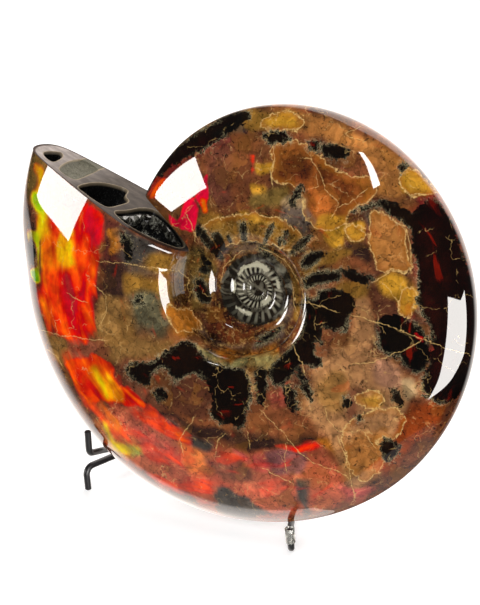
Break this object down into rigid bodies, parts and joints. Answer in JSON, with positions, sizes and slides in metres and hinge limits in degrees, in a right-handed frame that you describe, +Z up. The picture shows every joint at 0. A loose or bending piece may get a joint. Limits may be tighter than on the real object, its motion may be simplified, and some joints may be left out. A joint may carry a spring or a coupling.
{
  "type": "polished ammonite fossil",
  "caption": "Coiled fossil shell, polished, with a sawn aperture that shows open crystal-lined chambers, leaning back on a stand of bent black wires.",
  "frame": {"origin": "middle of the bounding box at table height", "axes": "+Z up, the front flank of the shell faces -Y and leans back 13 degrees, the sawn aperture is on the -X side"},
  "size_m": [0.2069, 0.1254, 0.1789],
  "materials": {
    "ammonite": "polished",
    "crystal_lining": "gloss",
    "left_arm": "satin",
    "left_leg": "satin",
    "right_arm": "satin",
    "rear_strut": "satin",
    "clear_sleeve": "gloss"
  },
  "bodies": {
    "root": {"ammonite": "ammonite", "crystal_lining": "crystal_lining", "left_arm": "left_arm", "left_leg": "left_leg", "right_arm": "right_arm", "rear_strut": "rear_strut", "clear_sleeve": "clear_sleeve"}
  },
  "joints": []
}
